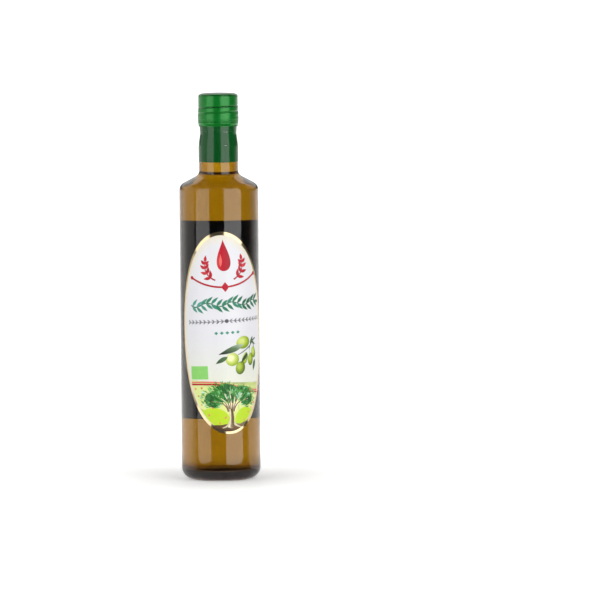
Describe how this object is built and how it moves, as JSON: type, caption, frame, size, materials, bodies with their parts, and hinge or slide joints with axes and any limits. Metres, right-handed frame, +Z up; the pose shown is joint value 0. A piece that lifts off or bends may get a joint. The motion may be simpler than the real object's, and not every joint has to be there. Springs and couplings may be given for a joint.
{
  "type": "olive oil bottle",
  "caption": "Tall round tinted glass bottle filled with olive oil, with a green roll-on cap, a shrink sleeve on the neck, an oval paper label and a plain back label.",
  "frame": {"origin": "centre of the underside of the bottle, on the surface it stands on", "axes": "+Z up along the bottle's axis, -Y out of the middle of the oval front label"},
  "size_m": [0.06, 0.0602, 0.2923],
  "materials": {
    "bottle": "gloss",
    "oil": "gloss",
    "cap": "satin",
    "neck_sleeve": "gloss",
    "front_label": "coated paper",
    "back_label": "coated paper"
  },
  "bodies": {
    "root": {"bottle": "bottle", "oil": "oil", "cap": "cap", "neck_sleeve": "neck_sleeve", "front_label": "front_label", "back_label": "back_label"}
  },
  "joints": []
}
